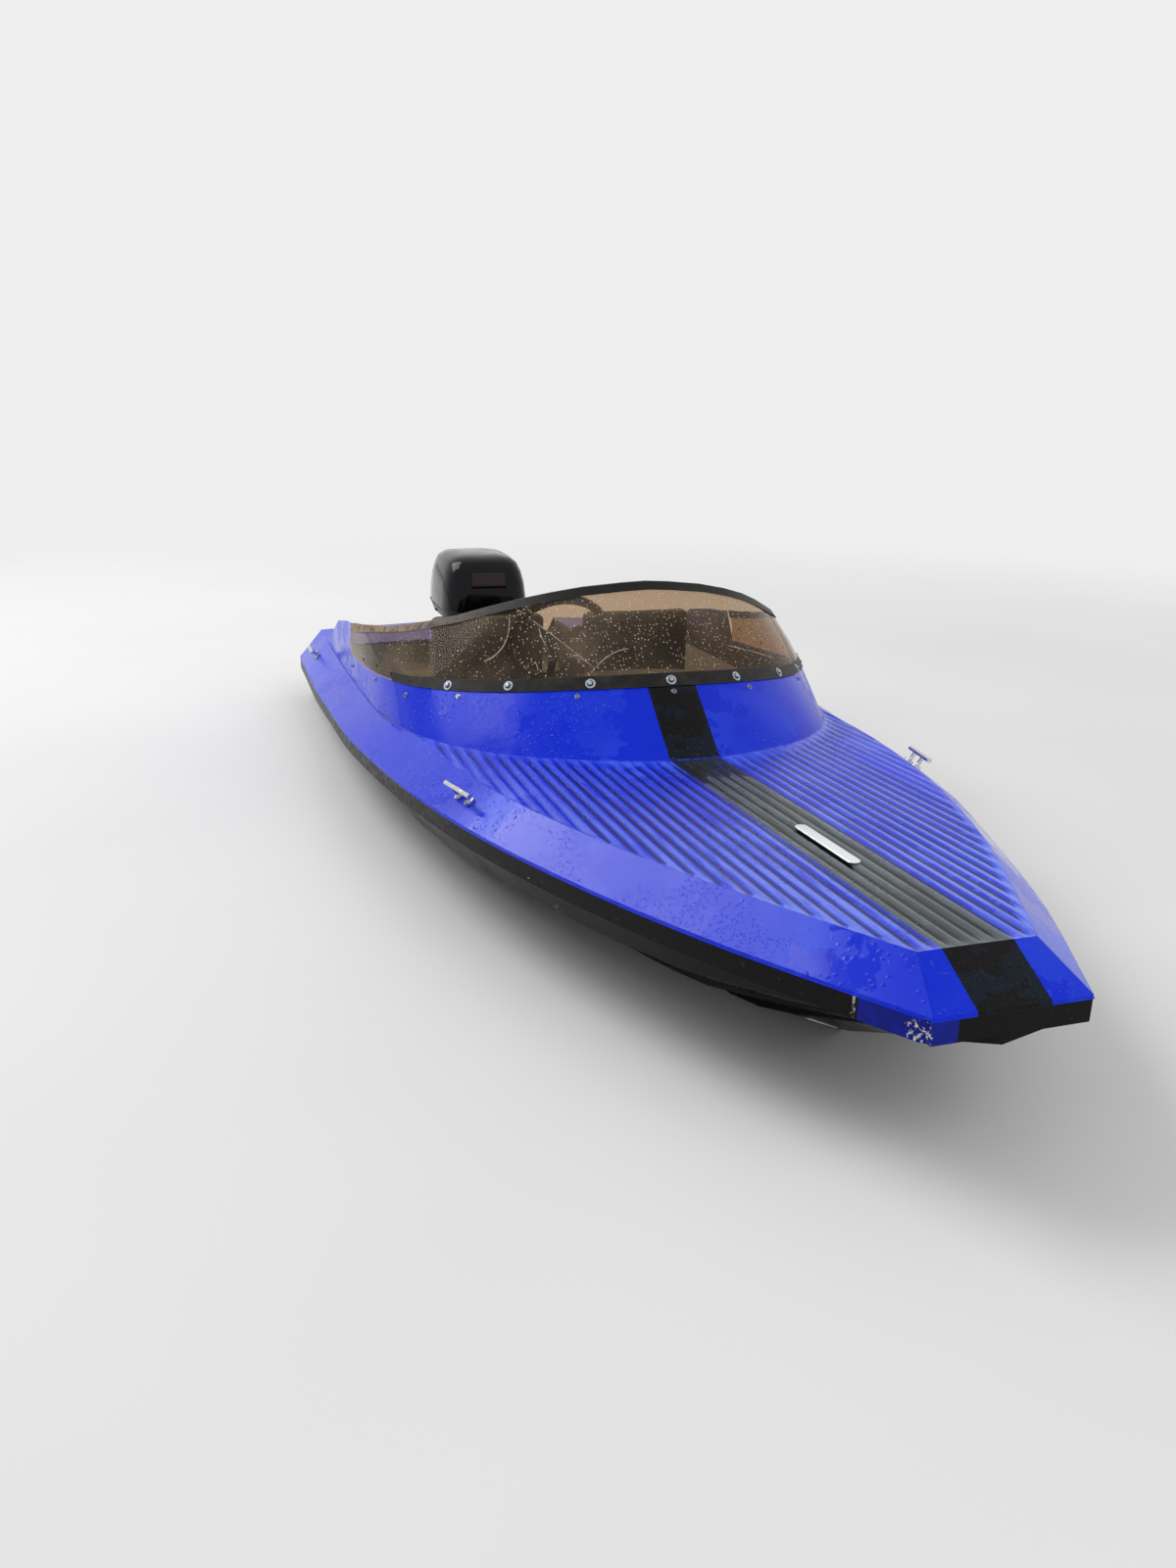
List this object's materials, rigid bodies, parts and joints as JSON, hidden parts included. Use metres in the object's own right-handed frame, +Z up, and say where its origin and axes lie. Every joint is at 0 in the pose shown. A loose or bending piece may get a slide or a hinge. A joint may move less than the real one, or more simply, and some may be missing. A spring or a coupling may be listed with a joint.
{
  "type": "speedboat",
  "caption": "Open speedboat with a ribbed foredeck, a wraparound tinted screen, seats, a steering wheel and a tilting, steered outboard motor.",
  "frame": {"origin": "on the waterline at rest, amidships and on the centreline", "axes": "+Z up, -Y towards the bow, +X to port"},
  "size_m": [1.758, 4.522, 1.2548],
  "materials": {
    "blue_gelcoat": "wet glossy ultramarine gelcoat",
    "black_gelcoat": "weathered black gelcoat",
    "black_rubber": "dull black",
    "bronze_acrylic": "scratched bronze-tinted acrylic",
    "stainless_steel": "polished",
    "motor_gloss": "gloss black",
    "motor_casting": "satin black paint",
    "grey_liner": "matt grey moulding",
    "black_vinyl": "grained black vinyl",
    "cast_iron": "plain casting"
  },
  "bodies": {
    "hull": {"hull_shell": "black_gelcoat", "transom": "black_gelcoat", "flange_port": "black_gelcoat", "flange_starboard": "black_gelcoat", "flange_bow": "black_gelcoat", "bow_facet": "blue_gelcoat", "foredeck_margin_port": "blue_gelcoat", "foredeck_margin_starboard": "blue_gelcoat", "foredeck_ribbed": "blue_gelcoat", "side_deck_port": "blue_gelcoat", "side_deck_starboard": "blue_gelcoat", "stern_deck_port": "blue_gelcoat", "stern_deck_starboard": "blue_gelcoat", "coaming": "blue_gelcoat", "motor_well": "blue_gelcoat", "windscreen": "bronze_acrylic", "screen_foot_band": "black_rubber", "screen_top_trim": "black_rubber", "cockpit_sole": "grey_liner", "cockpit_liner_port": "grey_liner", "cockpit_liner_starboard": "grey_liner", "cockpit_bulkhead": "grey_liner", "driver_seat_plinth": "grey_liner", "passenger_seat_plinth": "grey_liner", "dashboard": "black_vinyl", "driver_seat_cushion": "black_vinyl", "driver_seat_back": "black_vinyl", "passenger_seat_cushion": "black_vinyl", "passenger_seat_back": "black_vinyl", "rear_bench": "black_vinyl", "cleat_fore_port": "stainless_steel", "cleat_fore_starboard": "stainless_steel", "cleat_stern_port": "stainless_steel", "cleat_stern_starboard": "stainless_steel", "steering_column": "black_rubber", "clamp_bracket": "motor_casting"},
    "wheel": {"steering_wheel": "black_rubber"},
    "tilt": {"swivel_bracket": "motor_casting"},
    "engine": {"motor_leg": "motor_casting", "lower_pan": "motor_casting", "upper_cowl": "motor_gloss", "engine_block": "cast_iron", "gearcase": "motor_casting"},
    "propeller": {"propeller": "motor_casting"}
  },
  "joints": [
    {"name": "outboard_tilt", "type": "hinge", "parent": "hull", "child": "tilt", "pos_m": [0, 1.95, 0.245], "axis": [1, 0, 0], "range_deg": [0, 65]},
    {"name": "outboard_steer", "type": "hinge", "parent": "tilt", "child": "engine", "pos_m": [0, 2.025, 0.2], "axis": [0, 0, 1], "range_deg": [-35, 35]},
    {"name": "propeller_spin", "type": "hinge", "parent": "engine", "child": "propeller", "pos_m": [0, 2.35, -0.32905], "axis": [0, 1, 0], "continuous": true},
    {"name": "steering_wheel_turn", "type": "hinge", "parent": "hull", "child": "wheel", "pos_m": [-0.17, 0.25, 0.545], "axis": [0, 0.866, 0.5], "range_deg": [-540, 540]}
  ],
  "couplings": [
    {"joint": "steering_wheel_turn", "follows": "outboard_steer", "ratio": -15.4}
  ]
}
